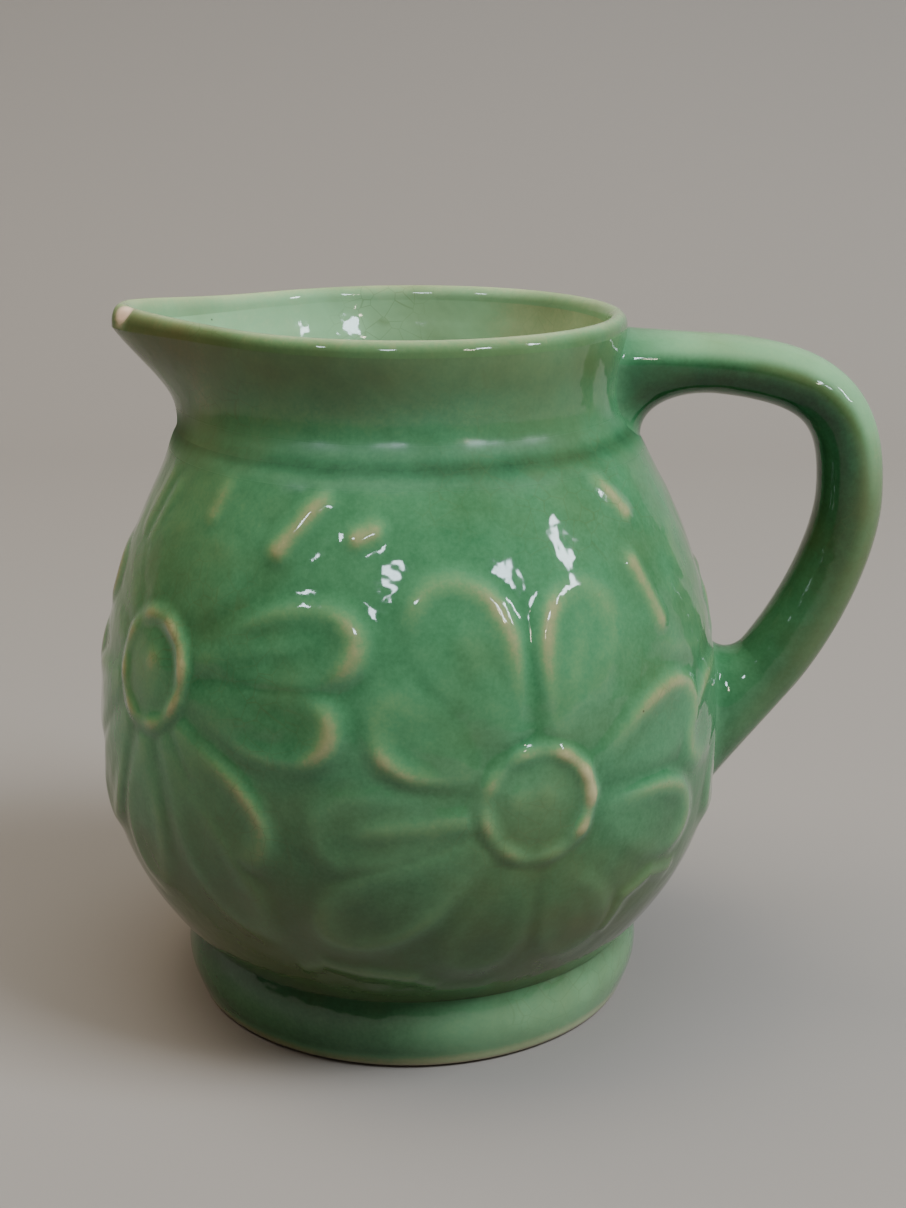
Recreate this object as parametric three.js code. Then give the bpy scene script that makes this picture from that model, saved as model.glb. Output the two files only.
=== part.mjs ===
// A small moulded pitcher: foot ring, floor, relief-moulded belly, collar, pulled spout, rolled lip and
// a loop handle luted on at two joints. Millimetres, +Z up, spout towards -X, handle towards +X.
import * as THREE from "three";
import { mergeVertices } from "three/addons/utils/BufferGeometryUtils.js";

// Heights of the stacked pieces
const footHeight = 13.1;
const bellyHeight = 91.9;
const collarHeight = 17.4;
const lipHeight = 2.6;

// Outer radii of the round body
const footBaseRadius = 40.4;
const footBulge = 1.8;
const footBulgeLevel = 1.2;
const footBulgeEase = 0.25;
const footCreaseRadius = 41.3;
const bellyRadius = 56.1;
const neckCreaseRadius = 39.8;
const waistRadius = 36.9;
const waistLevel = 0.8;
const lipRadius = 38.1;

// How full the belly is: its widest level as a part of its height, and the powers of its two curves
const bellyWidestLevel = 0.4;
const bellyLowerFullness = 2.3;
const bellyUpperFullness = 2.05;

// Walls
const wall = 4.4;
const floorThickness = 5.5;
const footRecess = 3.5;
const ledgeWidth = 3.6;
const clearance = 0.3;
const floorDish = 0.8;
const floorDishRadius = 0.6;
const spoutWallExtra = 0.15;
const lipFullness = 0.8;

// Spout: how far it is pulled past the collar, how wide it is pinched, and the rise of its tip
const spoutReach = 13.6;
const spoutPinch = THREE.MathUtils.degToRad(17.5);
const spoutPinchPower = 1.35;
const spoutTipRounding = THREE.MathUtils.degToRad(4);
const spoutTaperPower = 1.3;
const spoutTipRise = 1.4;
const spoutHalfAngle = THREE.MathUtils.degToRad(56);

// Handle: where its centreline starts, turns and ends, and its oval section
const handleTopDrop = 8.7;
const handleBottomLevel = 0.425;
const handleLoopShare = 0.628;
const fingerRoom = 16.8;
const handleHalfThickTop = 4.95;
const handleHalfThickLoop = 5.8;
const handleHalfThickBottom = 6.5;
const handleHalfWidth = 6.9;
const handleStandOffTop = 17;
const handleStandOffBottom = 13;

// How far the handle's curve is pulled before it bends: level out of the top, down over and under the
// loop, and outwards and upwards from its lower end
const pullOutOfTop = 0.785;
const pullOverLoop = 0.824;
const pullUnderLoop = 0.342;
const pullFromBottom = 0.42;
const riseFromBottom = 0.083;

// Luting-clay fillets: how far each spreads over the body beyond the handle, how much longer the lower
// one is because the handle comes in aslant, and the thickness left at their thin edges
const topFillet = { up: 0.6, down: 9.6, side: 4.1 };
const bottomFillet = { up: 4.4, down: 3.2, side: 3.6 };
const bottomSlant = 1.75;
const bottomJointDrop = 1.8;
const filletEdge = 0.3;
const filletPull = 0.55;

// Moulded daisies: height of the relief, the discs, and the petals as angle, length and half width
const reliefHeight = 1.2;
const reliefMargin = 7;
const discRadius = 10.4;
const discRidge = 8.8;
const discDome = 0.7;
const discRim = 1.3;
const ridgeWidth = 2;
const petalRoot = discRadius * 0.8;
const petalRootWidth = 0.42;
const petalFullRun = 0.6;
const petalTipRun = 0.66;
const petalPillow = 3;
const reliefClear = { from: 1.05, to: 1.5 };
const lowDaisy = {
  level: 0.445,
  petals: [
    [21, 41, 8.6], [69, 38, 9.5], [110, 41, 10], [150, 33, 9], [186, 40, 9],
    [216, 44, 9.5], [253, 35, 8.5], [290, 35, 8.5], [343, 40, 8.8],
  ],
};
const highDaisy = {
  level: 0.625,
  petals: [
    [21, 44, 8.6], [350, 42, 8], [318, 41, 7.5], [298, 50, 8], [268, 40, 8],
    [236, 42, 8], [204, 41, 8], [172, 42, 8], [140, 34, 8], [105, 28, 8], [60, 28, 7.5],
  ],
};
// Daisies round the belly: degrees from the front towards the handle, and which of the two it is
const daisies = [
  [22, lowDaisy],
  [94, highDaisy],
  [166, lowDaisy],
  [238, highDaisy],
  [309, highDaisy],
];

// How finely the surfaces are divided
const bellyAround = 120;
const bellyRows = 32;
const innerRows = 7;
const footAround = 60;
const collarAround = 36;
const collarRows = 6;
const spoutAround = 22;
const spoutCrowding = 1.5;
const lipRows = 4;
const handleAround = 16;
const handleRows = 24;
const filletRows = 5;
const seatStep = 3.7;

// Levels that follow from the sizes above
const bellyBottom = footHeight;
const bellyTop = bellyBottom + bellyHeight;
const collarTop = bellyTop + collarHeight;
const rimHeight = collarTop + lipHeight;
const bellyWidest = bellyBottom + bellyWidestLevel * bellyHeight;
const floorTop = footRecess + floorThickness;
const spoutSide = Math.PI;

// Heights where the handle's centreline meets the body
const handleTopHeight = rimHeight - handleTopDrop;
const handleBottomHeight = bellyBottom + handleBottomLevel * bellyHeight;
const bottomJointHeight = handleBottomHeight - bottomJointDrop;

const lerp = THREE.MathUtils.lerp;
const smoothstep = THREE.MathUtils.smoothstep;
const clamp = THREE.MathUtils.clamp;

// Outer radius of the plain round belly at a height
function bellyOuter(z) {
  if (z < bellyWidest) {
    const down = (bellyWidest - z) / (bellyWidest - bellyBottom);
    return bellyRadius - (bellyRadius - footCreaseRadius) * down ** bellyLowerFullness;
  }
  const up = (z - bellyWidest) / (bellyTop - bellyWidest);
  return bellyRadius - (bellyRadius - neckCreaseRadius) * up ** bellyUpperFullness;
}

// Angle between a direction and the spout, from 0 to pi
function fromSpout(angle) {
  const turn = Math.abs(angle - spoutSide) % (2 * Math.PI);
  return Math.min(turn, 2 * Math.PI - turn);
}

// Share of the spout's reach at an angle from it: 1 at the rounded tip, falling along pinched sides
function spoutShare(angle) {
  const away = Math.hypot(fromSpout(angle), spoutTipRounding) - spoutTipRounding;
  return Math.exp(-((away / spoutPinch) ** spoutPinchPower));
}

// Outer radius of the collar and spout: a concave collar, plus a spout that grows towards the rim
function collarOuter(angle, z) {
  const up = clamp((z - bellyTop) / collarHeight, 0, 1);
  const waist = Math.sin(Math.PI * up ** waistLevel);
  const straight = lerp(neckCreaseRadius, lipRadius, up);
  const round = straight - (straight - waistRadius) * waist;
  const pulled = spoutReach * (1 - (1 - up) ** spoutTaperPower);
  return round + pulled * spoutShare(angle);
}

// The wall measured along the radius is thicker where the spout's side runs slantwise to it
function collarInner(angle, z) {
  return collarOuter(angle, z) - wall * (1 + spoutWallExtra * spoutShare(angle));
}

// Height of a smooth ridge of a given half width at a distance from its crest
function ridge(distance, halfWidth) {
  return Math.exp(-((distance / halfWidth) ** 2));
}

// One petal in its daisy's plane, along and across its axis: narrow root, round tip, pillowed face
function petalHeight(along, across, length, halfWidth) {
  const run = (along - petalRoot) / (length - petalRoot);
  if (run <= 0 || run >= 1) return 0;
  const root = lerp(petalRootWidth, 1, smoothstep(run, 0, petalFullRun));
  const tip = run > petalTipRun ? Math.sqrt(1 - ((run - petalTipRun) / (1 - petalTipRun)) ** 2) : 1;
  const edge = Math.abs(across) / (halfWidth * root * tip);
  return Math.max(0, 1 - edge ** petalPillow);
}

// Relief of one daisy at a point of its plane, from 0 to a little over 1
function daisyHeight(right, up, petals) {
  const far = Math.hypot(right, up);
  if (far < discRadius + ridgeWidth) {
    const dome = far < discRidge ? discDome * (1 - (far / discRidge) ** 2) : 0;
    return dome + discRim * ridge(far - discRidge, ridgeWidth);
  }
  const bearing = Math.atan2(up, right);
  return petals.reduce((highest, [degrees, length, halfWidth]) => {
    const turn = bearing - THREE.MathUtils.degToRad(degrees);
    const here = petalHeight(far * Math.cos(turn), far * Math.sin(turn), length, halfWidth);
    return Math.max(highest, here);
  }, 0);
}

// Share of the relief left round one of the handle's joints: none under its fillet, all farther off
function reliefRound(angle, z, height, halfLength, spread) {
  const aside = bellyOuter(z) * Math.atan2(Math.sin(angle), Math.cos(angle));
  const reach = Math.hypot(aside / (handleHalfWidth + spread), (z - height) / halfLength);
  return smoothstep(reach, reliefClear.from, reliefClear.to);
}

// Relief over the whole belly, fading out at both creases and round the handle's joints
function relief(angle, z) {
  const radius = bellyOuter(z);
  const highest = daisies.reduce((most, [degrees, daisy]) => {
    const turn = angle - THREE.MathUtils.degToRad(degrees - 90);
    const right = radius * Math.atan2(Math.sin(turn), Math.cos(turn));
    const up = z - (bellyBottom + daisy.level * bellyHeight);
    return Math.max(most, daisyHeight(right, up, daisy.petals));
  }, 0);
  const fade = smoothstep(Math.min(z - bellyBottom, bellyTop - z), 1, reliefMargin);
  const bottomLength = handleHalfThickBottom * bottomSlant + bottomFillet.down;
  const aroundBottom = reliefRound(angle, z, bottomJointHeight, bottomLength, bottomFillet.side);
  const topLength = handleHalfThickTop + topFillet.down;
  const aroundTop = reliefRound(angle, z, handleTopHeight, topLength, topFillet.side);
  return reliefHeight * highest * fade * aroundBottom * aroundTop;
}

// Outer radius of the finished body at any angle and height
function bodyOuter(angle, z) {
  return z > bellyTop ? collarOuter(angle, z) : bellyOuter(z) + relief(angle, z);
}

function around(angle, radius, z) {
  return new THREE.Vector3(radius * Math.cos(angle), radius * Math.sin(angle), z);
}

function evenly(count, from, to) {
  return Array.from({ length: count + 1 }, (_, i) => lerp(from, to, i / count));
}

// Turns a list of quads and triangles into one closed geometry with shared corners
function solidFrom(points, faces) {
  const geometry = new THREE.BufferGeometry();
  const values = points.flatMap((p) => p.toArray());
  geometry.setAttribute("position", new THREE.Float32BufferAttribute(values, 3));
  geometry.setIndex(faces.flat());
  const merged = mergeVertices(geometry, 1e-4);
  merged.computeVertexNormals();
  return merged;
}

// Skin over a stack of rings that all have the same number of points. Each ring runs anticlockwise as
// seen from the next one. A closed stack joins its last ring to its first; an open one gets flat ends.
function loft(rings, closedStack) {
  const size = rings[0].length;
  const points = rings.flat();
  const faces = [];
  const stacks = closedStack ? rings.length : rings.length - 1;
  for (let i = 0; i < stacks; i++) {
    const low = i * size;
    const high = ((i + 1) % rings.length) * size;
    for (let j = 0; j < size; j++) {
      const next = (j + 1) % size;
      faces.push([low + j, low + next, high + next], [low + j, high + next, high + j]);
    }
  }
  if (!closedStack) {
    faces.push(...endFaces(rings[0], 0, true));
    faces.push(...endFaces(rings.at(-1), points.length - size, false));
  }
  return solidFrom(points, faces);
}

// Flat triangles that fill a ring, in the plane that suits it best
function endFaces(ring, start, flip) {
  const centre = ring.reduce((sum, p) => sum.add(p), new THREE.Vector3()).divideScalar(ring.length);
  const normal = new THREE.Vector3();
  ring.forEach((p, i) => {
    const next = ring[(i + 1) % ring.length];
    normal.add(p.clone().sub(centre).cross(next.clone().sub(centre)));
  });
  const turn = new THREE.Quaternion().setFromUnitVectors(normal.normalize(), new THREE.Vector3(0, 0, 1));
  const flat = ring.map((p) => p.clone().sub(centre).applyQuaternion(turn));
  const outline = flat.map((p) => new THREE.Vector2(p.x, p.y));
  return THREE.ShapeUtils.triangulateShape(outline, []).map(([a, b, c]) =>
    flip ? [start + a, start + c, start + b] : [start + a, start + b, start + c],
  );
}

// Shell of revolution with a free shape: the section at each angle is an anticlockwise loop of
// [radius, height] pairs, and the angles either go all the way round or stop at two flat ends.
function shell(angles, section, fullTurn) {
  const rings = angles.map((angle) =>
    section(angle)
      .map(([radius, z]) => around(angle, radius, z))
      .reverse(),
  );
  return loft(rings, fullTurn);
}

function fullTurnAngles(count) {
  return evenly(count, 0, 2 * Math.PI).slice(0, -1);
}

// Foot ring: bulging outside, a crease on top, a recess below the floor and a ledge that holds it
function makeFootRing() {
  const innerRadius = footCreaseRadius - wall;
  const ledgeRadius = innerRadius - ledgeWidth;
  const outside = evenly(7, 0, 1).map((up) => {
    const straight = lerp(footBaseRadius, footCreaseRadius, up);
    const bulge = footBulge * Math.sin(Math.PI * up ** footBulgeLevel) * (1 - footBulgeEase * up);
    return [straight + bulge, up * footHeight];
  });
  const inside = [
    [innerRadius, footHeight],
    [innerRadius, footRecess],
    [ledgeRadius, footRecess],
    [ledgeRadius + 1, 0],
  ];
  return shell(fullTurnAngles(footAround), () => [...outside, ...inside], true);
}

// Floor disc: lies on the ledge with a clearance round it, slightly dished on top
function makeBaseFloor() {
  const radius = footCreaseRadius - wall - clearance;
  const profile = [
    [0, footRecess],
    [radius, footRecess],
    [radius, floorTop],
    [radius * floorDishRadius, floorTop - floorDish * floorDishRadius],
    [0, floorTop - floorDish],
  ];
  const lathe = new THREE.LatheGeometry(profile.map(([r, z]) => new THREE.Vector2(r, z)), footAround);
  lathe.rotateX(Math.PI / 2);
  lathe.deleteAttribute("normal");
  lathe.deleteAttribute("uv");
  return lathe;
}

// Belly wall, with the daisies standing out of its outer face
function makeBelly() {
  const outsideLevels = evenly(bellyRows, bellyBottom, bellyTop);
  const insideLevels = evenly(innerRows, bellyTop, bellyBottom);
  const section = (angle) => [
    ...outsideLevels.map((z) => [bodyOuter(angle, z), z]),
    ...insideLevels.map((z) => [bellyOuter(z) - wall, z]),
  ];
  return shell(fullTurnAngles(bellyAround), section, true);
}

// Part of the collar wall between two angles, from the shoulder crease to the lip
function makeCollarPart(angles) {
  const outsideLevels = evenly(collarRows, bellyTop, collarTop);
  const insideLevels = evenly(3, collarTop, bellyTop);
  const section = (angle) => [
    ...outsideLevels.map((z) => [collarOuter(angle, z), z]),
    ...insideLevels.map((z) => [collarInner(angle, z), z]),
  ];
  return shell(angles, section, false);
}

// Angles of the spout, crowded towards its tip
function spoutAngles() {
  return evenly(spoutAround, -1, 1).map(
    (share) => spoutSide + Math.sign(share) * Math.abs(share) ** spoutCrowding * spoutHalfAngle,
  );
}

// Angles of the rest of the collar, from one side of the spout round to the other
function collarAngles() {
  return evenly(collarAround, spoutSide + spoutHalfAngle, spoutSide + 2 * Math.PI - spoutHalfAngle);
}

// Rounded bead on top of the collar and spout, rising a little towards the tip
function makeRimLip() {
  const angles = [...spoutAngles().slice(0, -1), ...collarAngles().slice(0, -1)];
  const section = (angle) => {
    const outer = collarOuter(angle, collarTop);
    const inner = collarInner(angle, collarTop);
    const middle = (outer + inner) / 2;
    const half = (outer - inner) / 2;
    const height = lipHeight + spoutTipRise * spoutShare(angle);
    return evenly(2 * lipRows, 0, Math.PI).map((turn) => [
      middle + half * Math.cos(turn),
      collarTop + height * Math.sin(turn) ** lipFullness,
    ]);
  };
  return shell(angles, section, true);
}

// Centreline of the handle: out level from the collar, round the loop, and in to the belly aslant
function handleCentreline() {
  const topRoot = around(0, collarOuter(0, handleTopHeight), handleTopHeight);
  const bottomRoot = around(0, bellyOuter(handleBottomHeight), handleBottomHeight);
  const loopHeight = lerp(bottomRoot.z, topRoot.z, handleLoopShare);
  const loop = around(0, bellyRadius + fingerRoom + handleHalfThickLoop, loopHeight);
  const outOfTop = topRoot.clone().setX(lerp(topRoot.x, loop.x, pullOutOfTop));
  const overLoop = loop.clone().setZ(lerp(loop.z, topRoot.z, pullOverLoop));
  const underLoop = loop.clone().setZ(lerp(loop.z, bottomRoot.z, pullUnderLoop));
  const intoBottom = new THREE.Vector3(
    lerp(bottomRoot.x, loop.x, pullFromBottom),
    0,
    lerp(bottomRoot.z, loop.z, riseFromBottom),
  );
  const path = new THREE.CurvePath();
  path.add(new THREE.CubicBezierCurve3(topRoot, outOfTop, overLoop, loop));
  path.add(new THREE.CubicBezierCurve3(loop, underLoop, intoBottom, bottomRoot));
  return path;
}

const centreline = handleCentreline();
const handleStart = handleStandOffTop / centreline.getLength();
const handleEnd = 1 - handleStandOffBottom / centreline.getLength();

function handleHalfThick(share) {
  return lerp(handleHalfThickTop, handleHalfThickBottom, share);
}

// Oval section of the handle at a share of its length, square to the centreline. upSign is 1 to start on
// the loop's outer side and -1 on its inner side, and sideSign says which way round the points run.
function handleSection(share, upSign, sideSign) {
  const centre = centreline.getPointAt(share);
  const tangent = centreline.getTangentAt(share);
  const outerSide = new THREE.Vector3(-tangent.z, 0, tangent.x);
  return fullTurnAngles(handleAround).map((turn) => {
    const side = sideSign * handleHalfWidth * Math.sin(turn);
    const up = outerSide.clone().multiplyScalar(upSign * handleHalfThick(share) * Math.cos(turn));
    return up.add(centre).add(new THREE.Vector3(0, side, 0));
  });
}

function makeHandle() {
  const shares = evenly(handleRows, handleStart, handleEnd);
  return loft(shares.map((share) => handleSection(share, 1, -1)), false);
}

// How sharply the body turns inwards at the shoulder crease, as a change of slope
const slopeBelow = neckCreaseRadius - bellyOuter(bellyTop - 1);
const slopeAbove = collarOuter(0, bellyTop + 1) - neckCreaseRadius;
const creaseTurn = slopeBelow - slopeAbove;

// A joint's flat facets bridge the crease, so they stand off it by what a facet would cut into it
function creaseRoom(z) {
  return Math.max(0, creaseTurn) * (seatStep / 4) * ridge(z - bellyTop, seatStep);
}

// A point over the body's outer face, given sideways and upwards from a root on the handle's side
function overBody(rootHeight, aside, up, height) {
  const z = rootHeight + up;
  const angle = aside / bodyOuter(0, rootHeight);
  return around(angle, bodyOuter(angle, z) + height + creaseRoom(z), z);
}

// Fillet from the handle's end section down to the body. Its outline on the body is the section's own,
// longer by slant, plus the spread, and its closing face follows the body at the clearance.
function makeFillet(share, upSign, rootHeight, slant, spread) {
  const outline = (grow, size, height) =>
    fullTurnAngles(handleAround).map((turn) => {
      const upward = Math.cos(turn);
      const lengthways = handleHalfThick(share) * slant + grow * (upward > 0 ? spread.up : spread.down);
      const sideways = handleHalfWidth + grow * spread.side;
      return overBody(rootHeight, size * sideways * Math.sin(turn), size * lengthways * upward, height);
    });
  const corners = outline(0, 1, clearance);
  const edges = outline(1, 1, clearance + filletEdge);
  const curves = handleSection(share, upSign, 1).map((start, i) => {
    const leave = start.clone().lerp(corners[i], filletPull);
    const arrive = edges[i].clone().lerp(corners[i], filletPull);
    return new THREE.CubicBezierCurve3(start, leave, arrive, edges[i]);
  });
  const flare = evenly(filletRows, 0, 1).map((step) => curves.map((curve) => curve.getPoint(step)));
  const seat = [1, 0.75, 0.5, 0.25].map((size) => outline(1, size, clearance));
  return loft([...flare, ...seat], false);
}

const glaze = { roughness: 0.12, metalness: 0 };

function addPiece(group, name, geometry, color) {
  const mesh = new THREE.Mesh(geometry, new THREE.MeshStandardMaterial({ ...glaze, color }));
  mesh.name = name;
  group.add(mesh);
}

const pitcher = new THREE.Group();
addPiece(pitcher, "foot_ring", makeFootRing(), 0x5fa878);
addPiece(pitcher, "base_floor", makeBaseFloor(), 0x7fb98c);
addPiece(pitcher, "belly", makeBelly(), 0x66a37c);
addPiece(pitcher, "neck_collar", makeCollarPart(collarAngles()), 0x5f9f76);
addPiece(pitcher, "pouring_spout", makeCollarPart(spoutAngles()), 0x7d9a6c);
addPiece(pitcher, "rim_lip", makeRimLip(), 0xa9cc9f);
addPiece(pitcher, "handle", makeHandle(), 0x6ba67b);
addPiece(
  pitcher,
  "handle_top_joint",
  makeFillet(handleStart, 1, handleTopHeight, 1, topFillet),
  0x5f9f76,
);
addPiece(
  pitcher,
  "handle_bottom_joint",
  makeFillet(handleEnd, -1, bottomJointHeight, bottomSlant, bottomFillet),
  0x66a37c,
);

// The frame's origin is on the table under the middle of the whole outline, spout tip to handle
const extent = new THREE.Box3().setFromObject(pitcher);
const middle = extent.getCenter(new THREE.Vector3());
pitcher.position.set(-middle.x, -middle.y, -extent.min.z);

export default pitcher;
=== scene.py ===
import bmesh
import bpy
import numpy as np
from math import cos, pi, radians, sin
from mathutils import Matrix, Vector


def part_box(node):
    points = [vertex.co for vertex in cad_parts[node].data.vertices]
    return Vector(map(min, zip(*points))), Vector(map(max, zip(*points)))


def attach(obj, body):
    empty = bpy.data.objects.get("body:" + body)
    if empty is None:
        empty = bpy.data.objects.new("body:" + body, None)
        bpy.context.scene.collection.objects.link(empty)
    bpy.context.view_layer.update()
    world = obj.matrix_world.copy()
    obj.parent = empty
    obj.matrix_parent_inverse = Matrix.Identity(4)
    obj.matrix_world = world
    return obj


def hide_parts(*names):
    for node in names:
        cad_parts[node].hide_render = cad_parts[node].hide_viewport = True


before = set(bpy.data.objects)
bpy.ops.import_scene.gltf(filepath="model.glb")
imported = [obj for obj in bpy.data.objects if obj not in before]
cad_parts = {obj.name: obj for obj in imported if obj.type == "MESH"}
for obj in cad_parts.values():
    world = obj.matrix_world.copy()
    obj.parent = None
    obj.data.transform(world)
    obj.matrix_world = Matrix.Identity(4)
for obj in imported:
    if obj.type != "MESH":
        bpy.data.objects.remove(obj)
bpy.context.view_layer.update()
print("frame loaded")

# Everything is worked out in millimetres about the pitcher's own axis, then put where the frame has it.
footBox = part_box("foot_ring")
axisX = (footBox[0][0] + footBox[1][0]) / 2 * 1000
axisY = (footBox[0][1] + footBox[1][1]) / 2 * 1000
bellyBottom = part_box("belly")[0][2] * 1000
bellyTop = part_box("belly")[1][2] * 1000
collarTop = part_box("neck_collar")[1][2] * 1000
spoutSide = pi
glazeLayers = ("pooled", "bare", "olive", "pale", "dull")   # what each point says of its glaze

# The pitcher's outline, on the same curves as the frame's.
body = {
    "bellyRadius": 56.1,
    "footCrease": 41.3,         # radius where the belly meets the foot
    "neckCrease": 39.8,         # radius where the belly meets the collar
    "waist": 36.9,
    "lip": 38.1,
    "lipHeight": 2.6,
    "widestLevel": 0.4,         # share of the belly's height
    "lowerFullness": 2.3,       # a higher power stays wide for longer
    "upperFullness": 2.05,
    "waistLevel": 0.8,          # under 1 lifts the collar's waist less than halfway
    "wall": 4.4,
    "spoutWall": 0.15,          # how much thicker the wall is behind the spout
    "spoutReach": 13.6,
    "spoutPinch": radians(17.5),
    "spoutPinchPower": 1.35,
    "spoutRounding": radians(4),
    "spoutTaper": 1.08,
    "spoutRise": 1.4,
    "mouthFlare": 1.0,
    "flareFrom": 0.45,          # share of the collar's height
    "creaseDepth": 0.3,         # groove between belly and collar
    "creaseWidth": 1.2,
    "throatFill": 1.3,          # the same groove filled and rounded over under the spout
    "throatWidth": 4.5,
    "wobble": 0.18,
}
bellyWidest = bellyBottom + body["widestLevel"] * (bellyTop - bellyBottom)


def smooth(x, low, high):
    t = np.clip((np.asarray(x, float) - low) / (high - low), 0, 1)
    return t * t * (3 - 2 * t)


def ridge(distance, width):
    return np.exp(-((distance / width) ** 2))


def mix(a, b, t):
    return a + (b - a) * t


def turnFrom(angle, centre):
    return (np.asarray(angle, float) - centre + pi) % (2 * pi) - pi


def bellyRound(z):
    z = np.asarray(z, float)
    down = np.clip((bellyWidest - z) / (bellyWidest - bellyBottom), 0, 1)
    up = np.clip((z - bellyWidest) / (bellyTop - bellyWidest), 0, 1)
    lower = (body["bellyRadius"] - body["footCrease"]) * down ** body["lowerFullness"]
    upper = (body["bellyRadius"] - body["neckCrease"]) * up ** body["upperFullness"]
    return body["bellyRadius"] - lower - upper


def spoutShare(angle):
    away = np.hypot(turnFrom(angle, spoutSide), body["spoutRounding"]) - body["spoutRounding"]
    return np.exp(-((away / body["spoutPinch"]) ** body["spoutPinchPower"]))


def collarRound(angle, z):
    up = np.clip((np.asarray(z, float) - bellyTop) / (collarTop - bellyTop), 0, 1)
    waist = np.sin(pi * up ** body["waistLevel"])
    straight = body["neckCrease"] + (body["lip"] - body["neckCrease"]) * up
    plain = straight - (straight - body["waist"]) * waist
    return plain + body["spoutReach"] * (1 - (1 - up) ** body["spoutTaper"]) * spoutShare(angle)


def collarInside(angle, z):
    up = (np.asarray(z, float) - bellyTop) / (collarTop - bellyTop)
    flare = body["mouthFlare"] * smooth(up, body["flareFrom"], 1)
    return collarRound(angle, z) - body["wall"] * (1 + body["spoutWall"] * spoutShare(angle)) + flare


# Moulded daisies: pillowed petals with raised rims round a ringed, domed disc.
# A petal is its angle, length, half width, bend, and how strong its left rim, tip, right rim and rib are.
daisies = {
    "relief": 1.0,              # scales all the moulding
    "discEdge": 10.6,
    "discRing": 9.1,
    "ringWidth": 1.55,
    "ringHeight": 0.88,
    "domeHeight": 0.5,
    "tipStart": 0.66,           # share of a petal's length where its tip starts to round
    "faceHeight": 0.08,         # a petal's dished face, and how much more it has beside a strong rim
    "faceByRim": 0.14,
    "rimHeight": 0.76,
    "rimInset": 3.0,            # how far inside a petal's edge its rim stands
    "rimWidth": 2.8,
    "ribHeight": 0.4,
    "ribWidth": 1.9,
    "strokeHeight": 0.8,
    "strokeSpread": 1.25,       # how much wider than drawn a leaf end is raised
    "clearBottom": (10.5, 16),  # half width and half height left plain round the handle's joints
    "clearTop": (11, 14.5),
    "low": {
        "level": 53.8,
        "petals": [
            (20, 42, 8.8, -4.5, 1.0, 0.9, 0.25, 0.1),
            (69, 38, 9.5, 1.5, 1.0, 0.35, 0.15, 0.5),
            (110, 41, 10.2, 1.0, 0.15, 0.6, 0.9, 0.4),
            (150, 33, 8.4, -1.0, 0.8, 0.25, 0.1, 0.4),
            (186, 40, 8.8, 1.0, 0.3, 0.35, 0.2, 1.0),
            (216, 44, 9.4, -2.0, 0.7, 0.8, 0.4, 0.1),
            (253, 35, 8.6, 0.0, 0.35, 0.4, 0.2, 0.2),
            (290, 36, 9.0, 0.0, 0.4, 0.35, 0.3, 0.2),
            (343, 40, 9.0, -1.0, 1.0, 0.7, 0.3, 0.2),
        ],
    },
    "high": {
        "level": 70.4,
        "petals": [
            (20, 44, 8.8, -5.0, 0.5, 1.0, 0.3, 0.6),
            (350, 42, 8.2, 2.0, 0.2, 1.0, 0.4, 0.3),
            (318, 41, 7.8, -2.0, 0.9, 0.8, 0.3, 0.5),
            (299, 52, 8.0, 1.0, 0.6, 0.7, 0.4, 0.3),
            (268, 42, 8.5, 0.0, 0.5, 0.6, 0.4, 0.4),
            (236, 42, 8.5, 0.0, 0.7, 0.8, 0.3, 0.4),
            (204, 42, 8.5, 0.0, 0.3, 0.7, 0.8, 0.4),
            (168, 44, 8.0, 0.0, 0.2, 0.2, 0.1, 0.3),
            (140, 32, 8.0, 0.0, 0.1, 0.15, 0.1, 0.3),
            (105, 27, 8.0, 0.0, 0.1, 0.1, 0.1, 0.3),
            (60, 27, 8.0, 0.0, 0.1, 0.1, 0.2, 0.3),
        ],
    },
    # where each daisy is, in degrees from the front towards the handle, and which it is
    "places": [(22.3, "low"), (-51.5, "high"), (94, "high"), (166, "low"), (238, "high")],
    # leaf ends and veins between the daisies: two ends as degrees and height, half width, strength
    "strokes": [
        (-25, 93, -17.5, 101, 1.7, 1.0),
        (-9, 95.5, -6, 96.5, 1.5, 0.8),
        (45.5, 103.5, 52, 96, 1.6, 1.0),
        (49.2, 88, 53.2, 78.5, 1.8, 1.0),
        (-20, 22, -15, 24, 1.3, 0.6),
        (-15, 24, -9, 22.6, 1.4, 0.9),
        (-9, 22.6, 1, 21.2, 1.5, 0.9),
        (1, 21.2, 5, 19, 1.2, 0.6),
        (7, 17.5, 17, 17, 1.1, 0.5),
        (41, 26, 43, 32, 1.3, 0.7),
        (43, 32, 49, 34.5, 1.3, 0.8),
        (49, 34.5, 56, 33, 1.3, 0.7),
        (-66.5, 100, -69.5, 91, 2.0, 0.5),
        (-61, 98, -64, 90, 1.6, 0.35),
        (-42.5, 101, -44, 96.5, 1.6, 0.5),
        (128, 96, 134, 88, 1.6, 0.8),
        (200, 97, 206, 90, 1.6, 0.8),
        (130, 24, 141, 22, 1.4, 0.7),
        (190, 21, 202, 23, 1.4, 0.7),
    ],
    # small bumps on the discs and their rings: degrees, height, size, strength
    "bumps": [
        (18.4, 55.2, 2.4, 0.24), (24.1, 55.8, 2.2, 0.2), (-50.5, 72.5, 2.4, 0.3),
        (30.8, 58.4, 1.8, 0.4), (31.8, 54.0, 2.0, 0.5), (30.2, 48.6, 1.7, 0.35),
    ],
}


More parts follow.
